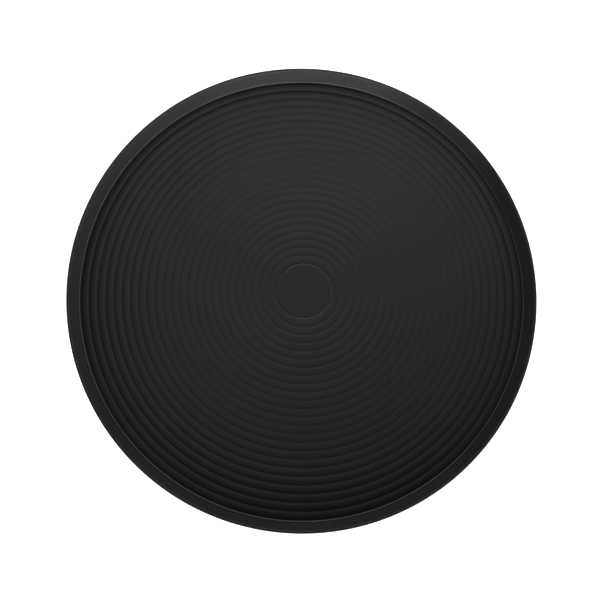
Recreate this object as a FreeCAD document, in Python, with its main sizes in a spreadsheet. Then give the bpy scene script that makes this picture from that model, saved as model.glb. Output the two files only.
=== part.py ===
import FreeCAD, Part
import Sketcher
import math
import os

# Round non-slip serving tray, in millimetres. The origin is the centre of the circle that the
# tray rests on, +Z is up through the middle of the tray.
#
# tray_body    one hard moulding: floor plate with a shallow seat for the mat, flared rim wall with
#              a rounded foot and a flat lip, and a foot ring, hub ring and webs underneath
# ribbed_mat   soft non-slip mat that fills the seat: low concentric rounded ribs that meet in sharp
#              valleys, around a smooth flat disc in the middle

SIZES = {
    # the whole tray
    "outer_diameter": 350.0,
    "overall_height": 18.0,
    "well_depth": 10.8,
    "well_radius": 167.8,
    # tray body
    "wall_thickness": 2.2,
    "wall_foot_radius": 0.9,
    "lip_inner_radius": 0.45,
    "lip_outer_radius": 0.9,
    "floor_thickness": 2.5,
    "heel_radius": 3.0,
    "foot_ring_radius": 150.0,
    "foot_ring_width": 4.0,
    "foot_edge_radius": 0.8,
    "hub_ring_radius": 52.0,
    "hub_ring_width": 2.4,
    "hub_ring_depth": 1.5,
    "web_count": 12,
    "web_width": 1.8,
    "web_depth": 1.2,
    # ribbed mat
    "mat_thickness": 1.5,
    "mat_gap": 0.15,
    "disc_radius": 21.6,
    "disc_edge_radius": 0.2,
    "rib_count": 24,
    "rib_pitch": 6.09,
    "rib_height": 0.2,
}

# Heights above the resting plane, as formulas on the sheet.
MAT_PLANE = "sizes.overall_height - sizes.well_depth"
SEAT_FLOOR = MAT_PLANE + " - sizes.mat_thickness"
PLATE_UNDERSIDE = SEAT_FLOOR + " - sizes.floor_thickness"
OUTER_RADIUS = "sizes.outer_diameter / 2"
MAT_RADIUS = "sizes.well_radius - sizes.mat_gap"
RIB_RADIUS = "(sizes.rib_pitch ^ 2 / 4 + sizes.rib_height ^ 2) / (2 * sizes.rib_height)"

# Ends of an edge in a sketch, as the constraint solver numbers them.
START = 1
END = 2
CENTRE = 3
ORIGIN = -1
Y_AXIS = -2

doc = FreeCAD.newDocument("serving_tray")
sheet = doc.addObject("Spreadsheet::Sheet", "sizes")
for row, (alias, number) in enumerate(SIZES.items(), start=1):
    sheet.set("A%d" % row, alias)
    sheet.set("B%d" % row, str(number))
    sheet.setAlias("B%d" % row, alias)
doc.recompute()


def value(formula):
    """What a formula on the sheet comes to now; a sketch is drawn with it before it is bound."""
    return float(sheet.evalExpression(formula))


def new_body(label):
    """An empty body with a label of its own, which names its file."""
    body = doc.addObject("PartDesign::Body", label)
    body.Label = label
    body.Placement = FreeCAD.Placement()
    return body


def new_sketch(body, name, plane):
    """A sketch on one of the body's own origin planes."""
    sketch = body.newObject("Sketcher::SketchObject", name)
    face = [item for item in body.Origin.OriginFeatures if item.Role == plane][0]
    sketch.AttachmentSupport = (face, "")
    sketch.MapMode = "FlatFace"
    return sketch


def point(x, y):
    return FreeCAD.Vector(x, y, 0)


def add_line(sketch, start, end):
    return sketch.addGeometry(Part.LineSegment(point(*start), point(*end)), False)


def add_arc(sketch, centre, radius, start_angle, end_angle):
    """A counter-clockwise arc; angles in degrees."""
    circle = Part.Circle(point(*centre), FreeCAD.Vector(0, 0, 1), radius)
    arc = Part.ArcOfCircle(circle, math.radians(start_angle), math.radians(end_angle))
    return sketch.addGeometry(arc, False)


def relate(sketch, kind, *references):
    """A geometric constraint, without a size."""
    return sketch.addConstraint(Sketcher.Constraint(kind, *references))


def measure(sketch, kind, name, formula, *references):
    """A named dimension, bound to a formula on the sheet."""
    index = sketch.addConstraint(Sketcher.Constraint(kind, *references, value(formula)))
    sketch.renameConstraint(index, name)
    sketch.setExpression("Constraints." + name, formula)


def place(sketch, edge, end, name, radius_formula, height_formula):
    """Puts one point of the section at a radius and a height."""
    if radius_formula is None:
        relate(sketch, "PointOnObject", edge, end, Y_AXIS)
    else:
        measure(sketch, "DistanceX", name + "_radius", radius_formula, ORIGIN, 1, edge, end)
    measure(sketch, "DistanceY", name + "_height", height_formula, ORIGIN, 1, edge, end)


def revolve(body, sketch, name):
    """Turns a section once round the tray's axis and joins it to the body."""
    turned = body.newObject("PartDesign::Revolution", name)
    turned.Profile = (sketch, [""])
    turned.ReferenceAxis = (sketch, ["V_Axis"])
    turned.Angle = 360
    sketch.Visibility = False
    return turned


def draw_shell_section(sketch):
    """Half section of the tray shell: plate, heel, flared wall, lip, wall again, its foot and seat."""
    underside = value(PLATE_UNDERSIDE)
    seat = value(SEAT_FLOOR)
    plane = value(MAT_PLANE)
    well = value("sizes.well_radius")
    top = value("sizes.overall_height")
    outer = value("sizes.lip_outer_radius")
    inner = value("sizes.lip_inner_radius")
    foot = value("sizes.wall_foot_radius")
    heel = value("sizes.heel_radius")
    thickness = value("sizes.wall_thickness")

    # The wall's slope, from the lip's outer corner and the rounding at the wall's foot.
    outer_centre = (value(OUTER_RADIUS) - outer, top - outer)
    foot_centre = (well, plane + foot)
    run = outer_centre[0] - foot_centre[0]
    rise = outer_centre[1] - foot_centre[1]
    slope = math.acos((outer - thickness - foot) / math.hypot(run, rise)) - math.atan2(run, rise)
    turn = math.degrees(slope)
    face = (-math.sin(slope), math.cos(slope))

    wall_foot = (foot_centre[0] - foot * face[0], foot_centre[1] - foot * face[1])
    inner_height = top - inner
    lift = (inner_height - foot_centre[1]) * face[1] + foot + inner
    inner_centre = (foot_centre[0] - lift / face[0], inner_height)
    wall_top = (inner_centre[0] + inner * face[0], inner_centre[1] + inner * face[1])
    outside_top = (outer_centre[0] - outer * face[0], outer_centre[1] - outer * face[1])
    heel_rise = heel * (1 - math.cos(slope))
    outside_run = (outside_top[1] - underside - heel_rise) / math.tan(slope)
    outside_foot = (outside_top[0] - outside_run, underside + heel_rise)
    heel_centre = (outside_foot[0] - heel * math.sin(slope), underside + heel)

    bottom = add_line(sketch, (0, underside), (heel_centre[0], underside))
    rounded_heel = add_arc(sketch, heel_centre, heel, -90, turn - 90)
    outside = add_line(sketch, outside_foot, outside_top)
    outer_round = add_arc(sketch, outer_centre, outer, turn - 90, 90)
    land = add_line(sketch, (outer_centre[0], top), (inner_centre[0], top))
    inner_round = add_arc(sketch, inner_centre, inner, 90, turn + 90)
    inside = add_line(sketch, wall_top, wall_foot)
    rounded_foot = add_arc(sketch, foot_centre, foot, -90, turn - 90)
    step = add_line(sketch, (well, plane), (well, seat))
    floor = add_line(sketch, (well, seat), (0, seat))
    axis = add_line(sketch, (0, seat), (0, underside))

    smooth = [bottom, rounded_heel, outside, outer_round, land, inner_round, inside]
    for edge, following in zip(smooth, smooth[1:]):
        relate(sketch, "Tangent", edge, END, following, START)
    relate(sketch, "Tangent", inside, END, rounded_foot, END)
    relate(sketch, "Coincident", rounded_foot, START, step, START)
    for edge, following in ((step, floor), (floor, axis), (axis, bottom)):
        relate(sketch, "Coincident", edge, END, following, START)
    for edge in (bottom, land, floor):
        relate(sketch, "Horizontal", edge)
    relate(sketch, "Vertical", step)
    relate(sketch, "Vertical", rounded_foot, CENTRE, step, START)
    relate(sketch, "Parallel", inside, outside)
    measure(sketch, "Distance", "wall", "sizes.wall_thickness", inside, START, outside)
    measure(sketch, "Radius", "heel", "sizes.heel_radius", rounded_heel)
    measure(sketch, "Radius", "lip_outer", "sizes.lip_outer_radius", outer_round)
    measure(sketch, "Radius", "lip_inner", "sizes.lip_inner_radius", inner_round)
    measure(sketch, "Radius", "wall_foot", "sizes.wall_foot_radius", rounded_foot)
    place(sketch, outer_round, CENTRE, "lip_centre", OUTER_RADIUS + " - sizes.lip_outer_radius",
          "sizes.overall_height - sizes.lip_outer_radius")
    place(sketch, step, START, "well", "sizes.well_radius", MAT_PLANE)
    place(sketch, floor, END, "seat", None, SEAT_FLOOR)
    place(sketch, bottom, START, "underside", None, PLATE_UNDERSIDE)


def draw_ring_section(sketch, radius, width, low, high):
    """A plain rectangular ring section about a middle radius, between two heights."""
    left = radius + " - " + width + " / 2"
    right = radius + " + " + width + " / 2"
    corners = [(left, low), (right, low), (right, high), (left, high)]
    spots = [(value(across), value(up)) for across, up in corners]
    edges = [add_line(sketch, spots[i], spots[(i + 1) % 4]) for i in range(4)]
    for i in range(4):
        relate(sketch, "Coincident", edges[i], END, edges[(i + 1) % 4], START)
        relate(sketch, "Horizontal" if i % 2 == 0 else "Vertical", edges[i])
    place(sketch, edges[0], START, "inner_low", left, low)
    place(sketch, edges[2], START, "outer_high", right, high)


def draw_web_outline(sketch):
    """One web seen from above: a bar along +X that ends inside the hub ring and the foot ring."""
    half = "sizes.web_width / 2"
    corners = [
        ("sizes.hub_ring_radius", "-" + half),
        ("sizes.foot_ring_radius", "-" + half),
        ("sizes.foot_ring_radius", half),
        ("sizes.hub_ring_radius", half),
    ]
    spots = [(value(across), value(up)) for across, up in corners]
    edges = [add_line(sketch, spots[i], spots[(i + 1) % 4]) for i in range(4)]
    for i in range(4):
        relate(sketch, "Coincident", edges[i], END, edges[(i + 1) % 4], START)
        relate(sketch, "Horizontal" if i % 2 == 0 else "Vertical", edges[i])
    measure(sketch, "DistanceX", "hub_end", "sizes.hub_ring_radius", ORIGIN, 1, edges[0], START)
    measure(sketch, "DistanceX", "foot_end", "sizes.foot_ring_radius", ORIGIN, 1, edges[2], START)
    measure(sketch, "DistanceY", "right_half", half, edges[0], START, ORIGIN, 1)
    measure(sketch, "DistanceY", "left_half", half, ORIGIN, 1, edges[2], START)


def edges_at_height(shape, height):
    """Names of the round edges that lie wholly at one height."""
    names = []
    for number, edge in enumerate(shape.Edges, start=1):
        box = edge.BoundBox
        if abs(box.ZMin - height) < 1e-6 and abs(box.ZMax - height) < 1e-6:
            names.append("Edge%d" % number)
    return names


def make_tray_body():
    body = new_body("tray_body")
    section = new_sketch(body, "shell_section", "XZ_Plane")
    draw_shell_section(section)
    revolve(body, section, "shell")

    hub = new_sketch(body, "hub_ring_section", "XZ_Plane")
    draw_ring_section(hub, "sizes.hub_ring_radius", "sizes.hub_ring_width",
                      PLATE_UNDERSIDE + " - sizes.hub_ring_depth", SEAT_FLOOR)
    revolve(body, hub, "hub_ring")

    web = new_sketch(body, "web_outline", "XY_Plane")
    web.setExpression("AttachmentOffset.Base.z", PLATE_UNDERSIDE + " - sizes.web_depth")
    draw_web_outline(web)
    doc.recompute()
    bar = body.newObject("PartDesign::Pad", "web")
    bar.Profile = (web, [""])
    bar.setExpression("Length", "sizes.web_depth + sizes.floor_thickness / 2")
    web.Visibility = False
    doc.recompute()
    webs = body.newObject("PartDesign::PolarPattern", "webs")
    webs.Originals = [bar]
    webs.Axis = (web, ["N_Axis"])
    webs.Angle = 360
    webs.setExpression("Occurrences", "sizes.web_count")
    body.Tip = webs
    doc.recompute()

    foot = new_sketch(body, "foot_ring_section", "XZ_Plane")
    draw_ring_section(foot, "sizes.foot_ring_radius", "sizes.foot_ring_width", "0", SEAT_FLOOR)
    foot_ring = revolve(body, foot, "foot_ring")
    doc.recompute()

    rounded = body.newObject("PartDesign::Fillet", "foot_edges")
    rounded.Base = (foot_ring, edges_at_height(foot_ring.Shape, 0.0))
    rounded.setExpression("Radius", "sizes.foot_edge_radius")
    body.Tip = rounded
    return body


def draw_mat_section(sketch):
    """Half section of the mat: flat underside, upright edge, ribs, disc edge and disc. The edge cuts
    a little off the outermost rib."""
    count = int(value("sizes.rib_count"))
    pitch = value("sizes.rib_pitch")
    rise = value("sizes.rib_height")
    plane = value(MAT_PLANE)
    seat = value(SEAT_FLOOR)
    edge_radius = value(MAT_RADIUS)
    disc = value("sizes.disc_radius")
    turn = value("sizes.disc_edge_radius")
    rib_radius = value(RIB_RADIUS)
    half_angle = math.degrees(math.asin(pitch / 2 / rib_radius))
    outer_crest = disc + (count - 0.5) * pitch
    cut_angle = math.degrees(math.acos((edge_radius - outer_crest) / rib_radius))
    cut_height = plane + rise - rib_radius * (1 - math.sin(math.radians(cut_angle)))

    underside = add_line(sketch, (0, seat), (edge_radius, seat))
    side = add_line(sketch, (edge_radius, seat), (edge_radius, cut_height))
    ribs = []
    for number in range(count):
        centre = (outer_crest - number * pitch, plane + rise - rib_radius)
        start_angle = cut_angle if number == 0 else 90 - half_angle
        ribs.append(add_arc(sketch, centre, rib_radius, start_angle, 90 + half_angle))
    disc_edge = add_arc(sketch, (disc - turn, plane), turn, 0, 90)
    top = add_line(sketch, (disc - turn, plane + turn), (0, plane + turn))
    axis = add_line(sketch, (0, plane + turn), (0, seat))

    chain = [underside, side] + ribs + [disc_edge]
    for edge, following in zip(chain, chain[1:]):
        relate(sketch, "Coincident", edge, END, following, START)
    relate(sketch, "Tangent", disc_edge, END, top, START)
    relate(sketch, "Coincident", top, END, axis, START)
    relate(sketch, "Coincident", axis, END, underside, START)
    relate(sketch, "Horizontal", underside)
    relate(sketch, "Horizontal", top)
    relate(sketch, "Vertical", side)
    place(sketch, underside, START, "seat", None, SEAT_FLOOR)
    measure(sketch, "DistanceX", "edge", MAT_RADIUS, ORIGIN, 1, side, START)
    measure(sketch, "DistanceX", "outer_crest",
            "sizes.disc_radius + (sizes.rib_count - 0.5) * sizes.rib_pitch", ORIGIN, 1, ribs[0], CENTRE)
    relate(sketch, "PointOnObject", top, END, Y_AXIS)
    for number, rib in enumerate(ribs, start=1):
        inner_valley = "sizes.disc_radius + %d * sizes.rib_pitch" % (count - number)
        place(sketch, rib, END, "valley_%02d" % number, inner_valley, MAT_PLANE)
        if number > 1:
            relate(sketch, "Equal", ribs[0], rib)
    measure(sketch, "Radius", "rib", RIB_RADIUS, ribs[0])
    measure(sketch, "Radius", "disc_edge", "sizes.disc_edge_radius", disc_edge)
    measure(sketch, "DistanceY", "disc_edge_height", MAT_PLANE, ORIGIN, 1, disc_edge, CENTRE)


def make_ribbed_mat():
    body = new_body("ribbed_mat")
    section = new_sketch(body, "mat_section", "XZ_Plane")
    draw_mat_section(section)
    revolve(body, section, "mat")
    return body


pieces = [make_tray_body(), make_ribbed_mat()]
doc.recompute()

for item in doc.Objects:
    for problem in ("Invalid", "Error"):
        if problem in item.State:
            raise RuntimeError("%s is %s" % (item.Name, problem))
for piece in pieces:
    if piece.Shape.isNull() or not piece.Shape.isValid():
        raise RuntimeError("%s has no valid shape" % piece.Label)

os.makedirs("parts", exist_ok=True)
for piece in pieces:
    piece.Shape.exportStep(os.path.join("parts", piece.Label + ".step"))
    box = piece.Shape.optimalBoundingBox(False)
    print("%-12s solids %d  volume %.0f mm3  x %.2f..%.2f  z %.2f..%.2f" % (
        piece.Label, len(piece.Shape.Solids), piece.Shape.Volume,
        box.XMin, box.XMax, box.ZMin, box.ZMax))
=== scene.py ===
import math

import bpy
from mathutils import Matrix, Vector


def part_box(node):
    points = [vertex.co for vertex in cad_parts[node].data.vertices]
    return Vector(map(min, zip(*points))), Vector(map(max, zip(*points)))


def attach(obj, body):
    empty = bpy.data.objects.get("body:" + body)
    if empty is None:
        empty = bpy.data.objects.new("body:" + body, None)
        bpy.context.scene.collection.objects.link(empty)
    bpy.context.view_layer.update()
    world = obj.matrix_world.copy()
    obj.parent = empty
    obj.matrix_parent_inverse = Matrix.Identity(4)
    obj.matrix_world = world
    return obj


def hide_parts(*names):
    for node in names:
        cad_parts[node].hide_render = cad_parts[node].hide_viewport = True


# Looks for the round serving tray: a satin black moulded tray with a ribbed soft mat in its well.
# Tray and mat are turned from smooth half sections around +Z, in metres, in the frame of the CAD.
# The tray's underside also has straight stiffening webs.

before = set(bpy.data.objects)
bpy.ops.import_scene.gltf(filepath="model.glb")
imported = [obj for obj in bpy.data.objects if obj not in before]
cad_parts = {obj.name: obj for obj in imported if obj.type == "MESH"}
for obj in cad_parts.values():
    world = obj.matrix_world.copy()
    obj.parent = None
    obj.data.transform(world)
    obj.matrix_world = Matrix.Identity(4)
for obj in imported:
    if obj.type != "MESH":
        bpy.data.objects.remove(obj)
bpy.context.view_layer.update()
tray_low, tray_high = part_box("tray_body")
mat_low, mat_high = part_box("ribbed_mat")

MM = 0.001
SEGMENTS = 240
WATTS_PER_RADIANCE = 2.63
LIGHT_DISTANCE = 2.5
PANEL_HEIGHT = 2.4
BANK_WIDTH = 29

# Sizes that come from the frame. The lip is drawn a little inside the CAD's outline.
LIP_INSET = 0.25 * MM
OUTER_RADIUS = tray_high.x - LIP_INSET
LIP_TOP = tray_high.z
MAT_RADIUS = mat_high.x
SEAT_FLOOR = mat_low.z
CREST = mat_high.z

# Sizes of the design that the boxes don't hold. RIB_CROWN and GROOVE_DEPTH hold two values each: for
# the lowest ribs, and for the tallest ones by the disc and by the rim. DISC_GROOVE is the width and
# depth of the groove round the disc.
RIB_COUNT = 24
RIB_PITCH = 6.09 * MM
RIB_HEIGHT = 0.2 * MM
RIB_CROWN = (0.07 * MM, 0.125 * MM)
GROOVE_DEPTH = (0.02 * MM, 0.035 * MM)
GROOVE_INSIDE = 0.7 * MM
GROOVE_OUTSIDE = 0.9 * MM
LOWEST_RIBS = 102.0 * MM
RIBS_GROW_OVER = 45.0 * MM
DISC_RADIUS = 21.6 * MM
DISC_EDGE = 1.4 * MM
DISC_SLOPE = 34.0
DISC_GROOVE = (0.5 * MM, 0.33 * MM)
MAT_EDGE = 0.08 * MM
STEPS_PER_RIB = 14
MAT_GAP = 0.15 * MM
WALL_THICKNESS = 2.2 * MM
WALL_FOOT = 0.9 * MM
LIP_INNER = 0.45 * MM
LIP_OUTER = 0.9 * MM
FLOOR_THICKNESS = 2.5 * MM
HEEL_RADIUS = 3.0 * MM
FOOT_RING = (150.0 * MM, 4.0 * MM, 0.8 * MM)
HUB_RING = (52.0 * MM, 2.4 * MM, 0.4 * MM)
HUB_DEPTH = 1.5 * MM
WEB_COUNT = 12
WEB_WIDTH = 1.8 * MM
WEB_DEPTH = 1.2 * MM

MAT_PLANE = CREST - RIB_HEIGHT
WELL_RADIUS = MAT_RADIUS + MAT_GAP
PLATE_UNDERSIDE = SEAT_FLOOR - FLOOR_THICKNESS


# ---------------------------------------------------------------- sections

def arc(centre, radius, start, end, steps):
    """Points on an arc in a half section; angles in degrees."""
    points = []
    for step in range(steps + 1):
        angle = math.radians(start + (end - start) * step / steps)
        points.append((centre[0] + radius * math.cos(angle), centre[1] + radius * math.sin(angle)))
    return points


def straight(start, end, steps):
    """Points on a straight run, without its first point."""
    points = []
    for step in range(1, steps + 1):
        share = step / steps
        points.append((start[0] + (end[0] - start[0]) * share, start[1] + (end[1] - start[1]) * share))
    return points


def lathe(name, section, closed_at_axis=True):
    """A mesh turned from a half section [(radius, height), ...] that runs from axis to axis."""
    vertices = []
    faces = []
    rings = []
    for radius, height in section:
        if radius < 1e-9:
            rings.append([len(vertices)])
            vertices.append((0.0, 0.0, height))
            continue
        first = len(vertices)
        rings.append(list(range(first, first + SEGMENTS)))
        for segment in range(SEGMENTS):
            angle = 2 * math.pi * segment / SEGMENTS
            vertices.append((radius * math.cos(angle), radius * math.sin(angle), height))
    for lower, upper in zip(rings, rings[1:]):
        for segment in range(SEGMENTS):
            following = (segment + 1) % SEGMENTS
            if len(lower) == 1:
                faces.append((lower[0], upper[segment], upper[following]))
            elif len(upper) == 1:
                faces.append((lower[segment], upper[0], lower[following]))
            else:
                faces.append((lower[segment], upper[segment], upper[following], lower[following]))
    mesh = bpy.data.meshes.new(name)
    mesh.from_pydata(vertices, [], faces)
    mesh.validate()
    mesh.flip_normals()
    piece = bpy.data.objects.new(name, mesh)
    bpy.context.scene.collection.objects.link(piece)
    mesh.shade_smooth()
    mesh.set_sharp_from_angle(angle=math.radians(28))
    return piece


# ---------------------------------------------------------------- pieces

def rib_height(radius):
    """Height of the ribbed surface above its valleys: a shallow crown over each rib and a narrow
    groove along each valley. The ribs are a little taller near the disc and near the rim than
    between."""
    share = min(1.0, abs(radius - LOWEST_RIBS) / RIBS_GROW_OVER)
    crown = RIB_CROWN[0] + (RIB_CROWN[1] - RIB_CROWN[0]) * share
    groove = GROOVE_DEPTH[0] + (GROOVE_DEPTH[1] - GROOVE_DEPTH[0]) * share
    phase = (radius - DISC_RADIUS) / RIB_PITCH
    phase -= math.floor(phase)
    width = GROOVE_OUTSIDE if phase < 0.5 else GROOVE_INSIDE
    distance = min(phase, 1 - phase) * RIB_PITCH
    return crown * (1 - (2 * phase - 1) ** 2) + groove * (1 - math.exp(-(distance / width) ** 2))


def mat_section():
    """From the axis under the mat, out along its underside, up its edge, back over the ribs to the
    groove round the centre disc, and over the disc's rounded edge to the axis."""
    valley = CREST - RIB_CROWN[1] - GROOVE_DEPTH[1]
    shoulder = MAT_RADIUS - MAT_EDGE
    groove_width, groove_depth = DISC_GROOVE
    section = [(0.0, SEAT_FLOOR)]
    section += straight((0.0, SEAT_FLOOR), (shoulder, SEAT_FLOOR), 6)
    section += arc((shoulder, SEAT_FLOOR + MAT_EDGE), MAT_EDGE, -90, 0, 3)[1:]
    section += straight(section[-1], (MAT_RADIUS, valley - MAT_EDGE), 2)
    section += arc((shoulder, valley - MAT_EDGE), MAT_EDGE, 0, 90, 4)[1:]
    for rib in range(RIB_COUNT):
        middle = DISC_RADIUS + (RIB_COUNT - rib - 0.5) * RIB_PITCH
        for step in range(1, STEPS_PER_RIB + 1):
            radius = middle + math.cos(math.pi * step / STEPS_PER_RIB) * RIB_PITCH / 2
            if radius < shoulder:
                section.append((radius, valley + rib_height(radius)))
    brink = DISC_RADIUS - groove_width
    section.append((brink + groove_width / 5, CREST - groove_depth))
    arc_middle = brink - DISC_EDGE * math.sin(math.radians(DISC_SLOPE))
    section += arc((arc_middle, CREST - DISC_EDGE), DISC_EDGE, 90 - DISC_SLOPE, 90, 9)
    section += straight(section[-1], (0.0, CREST), 10)
    return section


def tray_section():
    """From the axis under the plate, round the hub ring, foot ring, heel, wall and lip to the seat."""
    outer_centre = (OUTER_RADIUS - LIP_OUTER, LIP_TOP - LIP_OUTER)
    foot_centre = (WELL_RADIUS, MAT_PLANE + WALL_FOOT)
    run = outer_centre[0] - foot_centre[0]
    rise = outer_centre[1] - foot_centre[1]
    apart = (LIP_OUTER - WALL_THICKNESS - WALL_FOOT) / math.hypot(run, rise)
    slope = math.acos(apart) - math.atan2(run, rise)
    turn = math.degrees(slope)
    face = (-math.sin(slope), math.cos(slope))
    inner_height = LIP_TOP - LIP_INNER
    lift = (inner_height - foot_centre[1]) * face[1] + WALL_FOOT + LIP_INNER
    inner_centre = (foot_centre[0] - lift / face[0], inner_height)
    outside_top = (outer_centre[0] - LIP_OUTER * face[0], outer_centre[1] - LIP_OUTER * face[1])
    heel_height = PLATE_UNDERSIDE + HEEL_RADIUS * (1 - math.cos(slope))
    outside_run = (outside_top[1] - heel_height) / math.tan(slope)
    heel_centre = (outside_top[0] - outside_run - HEEL_RADIUS * math.sin(slope),
                   PLATE_UNDERSIDE + HEEL_RADIUS)
    wall_foot = (foot_centre[0] - WALL_FOOT * face[0], foot_centre[1] - WALL_FOOT * face[1])

    section = [(0.0, PLATE_UNDERSIDE)]
    section += ring_section(HUB_RING, PLATE_UNDERSIDE - HUB_DEPTH)
    section += ring_section(FOOT_RING, 0.0)
    section += arc(heel_centre, HEEL_RADIUS, -90, turn - 90, 8)
    section += straight(section[-1], outside_top, 4)
    section += arc(outer_centre, LIP_OUTER, turn - 90, 90, 12)[1:]
    section += arc(inner_centre, LIP_INNER, 90, turn + 90, 8)
    section += straight(section[-1], wall_foot, 8)
    section += arc(foot_centre, WALL_FOOT, turn - 90, -90, 10)[1:]
    section += straight(section[-1], (WELL_RADIUS, SEAT_FLOOR), 2)
    section += straight(section[-1], (0.0, SEAT_FLOOR), 8)
    return section


def ring_section(ring, low):
    """A rounded ring that stands down from the plate's underside, crossed from inside to outside."""
    middle, width, rounding = ring
    inner = middle - width / 2
    outer = middle + width / 2
    points = arc((inner - rounding, PLATE_UNDERSIDE - rounding), rounding, 90, 0, 4)
    points += arc((inner + rounding, low + rounding), rounding, 180, 270, 5)
    points += arc((outer - rounding, low + rounding), rounding, 270, 360, 5)
    points += arc((outer + rounding, PLATE_UNDERSIDE - rounding), rounding, 180, 90, 4)
    return points


def webs_mesh(name):
    """Stiffening webs under the plate, from the hub ring to the foot ring, tapered and rounded."""
    inner = HUB_RING[0]
    outer = FOOT_RING[0]
    rounding = 0.4 * MM
    half = WEB_WIDTH / 2
    top = PLATE_UNDERSIDE + FLOOR_THICKNESS / 4
    low = PLATE_UNDERSIDE - WEB_DEPTH
    outline = [(half + 0.3 * MM, top)]
    outline += arc((half - rounding, low + rounding), rounding, 0, -90, 4)
    outline += arc((rounding - half, low + rounding), rounding, -90, -180, 4)
    outline.append((-half - 0.3 * MM, top))
    vertices = []
    faces = []
    stations = 12
    for web in range(WEB_COUNT):
        angle = 2 * math.pi * web / WEB_COUNT
        along = Vector((math.cos(angle), math.sin(angle), 0.0))
        side = Vector((-math.sin(angle), math.cos(angle), 0.0))
        first = len(vertices)
        count = len(outline)
        for station in range(stations + 1):
            distance = inner + (outer - inner) * station / stations
            for across, height in outline:
                vertices.append(along * distance + side * across + Vector((0.0, 0.0, height)))
        for station in range(stations):
            for spot in range(count):
                following = (spot + 1) % count
                here = first + station * count
                there = here + count
                faces.append((here + spot, here + following, there + following, there + spot))
        faces.append(tuple(first + spot for spot in reversed(range(count))))
        faces.append(tuple(first + stations * count + spot for spot in range(count)))
    mesh = bpy.data.meshes.new(name)
    mesh.from_pydata(vertices, [], faces)
    mesh.validate()
    piece = bpy.data.objects.new(name, mesh)
    bpy.context.scene.collection.objects.link(piece)
    mesh.shade_smooth()
    mesh.set_sharp_from_angle(angle=math.radians(35))
    return piece


# ---------------------------------------------------------------- materials

def new_material(name):
    material = bpy.data.materials.new(name)
    material.use_nodes = True
    return material, material.node_tree.nodes, material.node_tree.links


def grainy(name, scale, detail, dark, light, smooth, rough):
    """A satin black whose tone and roughness follow one fine noise. Returns what a bump needs too."""
    material, nodes, links = new_material(name)
    shader = nodes["Principled BSDF"]
    shader.inputs["Specular IOR Level"].default_value = 0.5
    place = nodes.new("ShaderNodeTexCoord")
    grain = nodes.new("ShaderNodeTexNoise")
    grain.inputs["Scale"].default_value = scale
    grain.inputs["Detail"].default_value = detail
    links.new(place.outputs["Object"], grain.inputs["Vector"])
    tone = nodes.new("ShaderNodeValToRGB")
    tone.color_ramp.elements[0].color = dark
    tone.color_ramp.elements[1].color = light
    links.new(grain.outputs["Fac"], tone.inputs["Fac"])
    links.new(tone.outputs["Color"], shader.inputs["Base Color"])
    roughness = nodes.new("ShaderNodeMapRange")
    roughness.inputs["To Min"].default_value = smooth
    roughness.inputs["To Max"].default_value = rough
    links.new(grain.outputs["Fac"], roughness.inputs["Value"])
    links.new(roughness.outputs["Result"], shader.inputs["Roughness"])
    return material, nodes, links, shader, grain


def satin_plastic():
    dark = (0.003, 0.003, 0.0031, 1)
    light = (0.010, 0.010, 0.0102, 1)
    material, nodes, links, shader, grain = grainy(
        "satin_black_plastic", 1100.0, 3.0, dark, light, 0.25, 0.33)
    bump = nodes.new("ShaderNodeBump")
    bump.inputs["Strength"].default_value = 0.25
    bump.inputs["Distance"].default_value = 0.04 * MM
    links.new(grain.outputs["Fac"], bump.inputs["Height"])
    links.new(bump.outputs["Normal"], shader.inputs["Normal"])
    return material


def soft_rubber():
    dark = (0.003, 0.003, 0.003, 1)
    light = (0.009, 0.009, 0.009, 1)
    return grainy("satin_black_rubber", 900.0, 2.0, dark, light, 0.28, 0.33)[0]


def pale_floor():
    """A matt white that glows a little, so that the floor shows as plain white."""
    material, nodes, _ = new_material("pale_floor")
    shader = nodes["Principled BSDF"]
    shader.inputs["Base Color"].default_value = (0.92, 0.92, 0.92, 1)
    shader.inputs["Roughness"].default_value = 0.9
    shader.inputs["Specular IOR Level"].default_value = 0.1
    shader.inputs["Emission Color"].default_value = (1, 1, 1, 1)
    shader.inputs["Emission Strength"].default_value = 0.95
    return material


# ---------------------------------------------------------------- camera, lights, floor

def make_camera():
    """Above the tray and a little to one side, close enough for a strong perspective."""
    tilt = math.radians(8.1)
    lean = math.radians(13.0)
    distance = 454.6 * MM
    aim = Vector((1.8 * MM, -10.0 * MM, MAT_PLANE))
    back = Vector((-math.sin(lean) * math.sin(tilt), -math.cos(lean) * math.sin(tilt), math.cos(tilt)))
    right = Vector((0.0, 1.0, 0.0)).cross(back).normalized()
    up = back.cross(right)
    data = bpy.data.cameras.new("camera")
    data.sensor_width = 36.0
    data.lens = 36.0
    data.shift_x = -0.0106
    data.shift_y = 0.0066
    camera = bpy.data.objects.new("camera", data)
    turn = Matrix((right, up, back)).transposed()
    camera.matrix_world = Matrix.Translation(aim + back * distance) @ turn.to_4x4()
    bpy.context.scene.collection.objects.link(camera)
    bpy.context.scene.camera = camera


def area_light(name, width, depth, radiance):
    """A rectangular light of even radiance that isn't itself in view."""
    data = bpy.data.lights.new(name, "AREA")
    data.shape = "RECTANGLE"
    data.size = width
    data.size_y = depth
    data.energy = radiance * data.size * data.size_y * WATTS_PER_RADIANCE
    light = bpy.data.objects.new(name, data)
    light.visible_camera = False
    bpy.context.scene.collection.objects.link(light)
    return light


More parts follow.
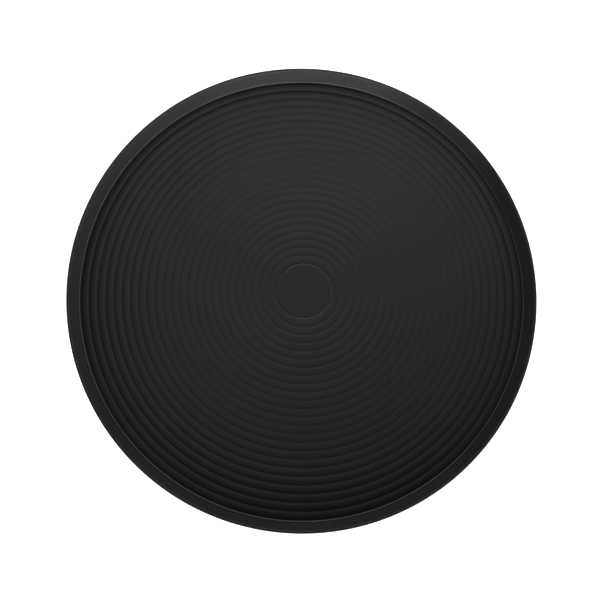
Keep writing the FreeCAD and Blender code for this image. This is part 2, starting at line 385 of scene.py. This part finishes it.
def softbox(name, azimuth, elevation, width, height, radiance):
    """A softbox that faces the tray. Angles in degrees, as seen from the tray: azimuth 0 is +X and 90
    is +Y, elevation is above the floor."""
    across = 2 * LIGHT_DISTANCE * math.tan(math.radians(width / 2))
    upright = 2 * LIGHT_DISTANCE * math.tan(math.radians(height / 2))
    light = area_light(name, across, upright, radiance)
    turn = math.radians(azimuth)
    lift = math.radians(elevation)
    away = Vector((math.cos(turn) * math.cos(lift), math.sin(turn) * math.cos(lift), math.sin(lift)))
    light.location = away * LIGHT_DISTANCE
    light.rotation_mode = "QUATERNION"
    light.rotation_quaternion = away.to_track_quat("Z", "Y")


def panel(name, left, right, near, far, radiance):
    """A flat overhead panel that faces down. Its sides are given as angles from straight up, as seen
    from the tray: left and right along X, near and far along Y."""
    edges = [PANEL_HEIGHT * math.tan(math.radians(edge)) for edge in (left, right, near, far)]
    light = area_light(name, edges[1] - edges[0], edges[3] - edges[2], radiance)
    light.location = ((edges[0] + edges[1]) / 2, (edges[2] + edges[3]) / 2, PANEL_HEIGHT)


def bank(name, azimuths, elevation, height, radiance):
    """A row of equal softboxes, one at each azimuth."""
    for azimuth in azimuths:
        softbox(f"{name}_{azimuth}", azimuth, elevation, BANK_WIDTH, height, radiance)


def make_lights():
    """Dim overhead panels, brighter towards the back, a tall bank behind the tray and a strong low
    bank in front of it."""
    panel("overhead_far", -12, 20, 22, 30, 1.35)
    panel("overhead_back", -20, 28, 14, 22, 0.95)
    panel("overhead_left", -20, 4, -10, 14, 0.53)
    panel("overhead_right", 4, 28, -10, 14, 0.36)
    bank("back_high_right", (15, 45), 35, 10, 0.9)
    bank("back_high_middle", (75, 105), 35, 10, 3.0)
    bank("back_high_left", (135, 165), 35, 10, 2.5)
    bank("back_right", (15, 45), 25, 10, 5.8)
    bank("back_middle", (75, 105), 25, 10, 5.4)
    bank("back_left", (135, 165), 25, 10, 2.8)
    bank("side_right", (15,), 15, 9, 1.7)
    bank("front_high", (285, 315), 30, 18, 1.8)
    bank("front_left", (195, 225), 15, 9, 3.0)
    bank("front_middle", (255, 285), 15, 9, 10.0)
    bank("front_right", (315, 345), 15, 9, 7.7)
    bank("front_low_left", (225,), 6, 8, 5.5)
    bank("front_low_middle", (255, 285), 6, 8, 11.0)
    bank("front_low_right", (315, 345), 6, 8, 5.3)


def make_world():
    """A white backdrop that the camera sees and that gives no light."""
    world = bpy.data.worlds.new("studio")
    world.use_nodes = True
    world.node_tree.nodes["Background"].inputs["Color"].default_value = (1, 1, 1, 1)
    world.node_tree.nodes["Background"].inputs["Strength"].default_value = 1.0
    for ray in ("diffuse", "glossy", "transmission", "scatter"):
        setattr(world.cycles_visibility, ray, False)
    bpy.context.scene.world = world
    bpy.context.scene.view_settings.view_transform = "Standard"
    bpy.context.scene.view_settings.look = "None"


def make_floor():
    mesh = bpy.data.meshes.new("floor")
    reach = 6.0
    corners = [(-reach, -reach, 0), (reach, -reach, 0), (reach, reach, 0), (-reach, reach, 0)]
    mesh.from_pydata(corners, [], [(0, 1, 2, 3)])
    floor = bpy.data.objects.new("floor", mesh)
    floor.location = (0, 0, -0.0002)
    bpy.context.scene.collection.objects.link(floor)
    mesh.materials.append(pale_floor())


def dress(piece, material):
    """Gives a piece its material and fixes it to the tray's one body."""
    piece.data.materials.append(material)
    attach(piece, "root")


make_camera()
make_world()
make_lights()
make_floor()

plastic = satin_plastic()
shell = lathe("tray_shell", tray_section())
dress(shell, plastic)
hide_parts("tray_body")
webs = webs_mesh("underside_webs")
dress(webs, plastic)
mat = lathe("mat_ribs", mat_section())
dress(mat, soft_rubber())
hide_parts("ribbed_mat")
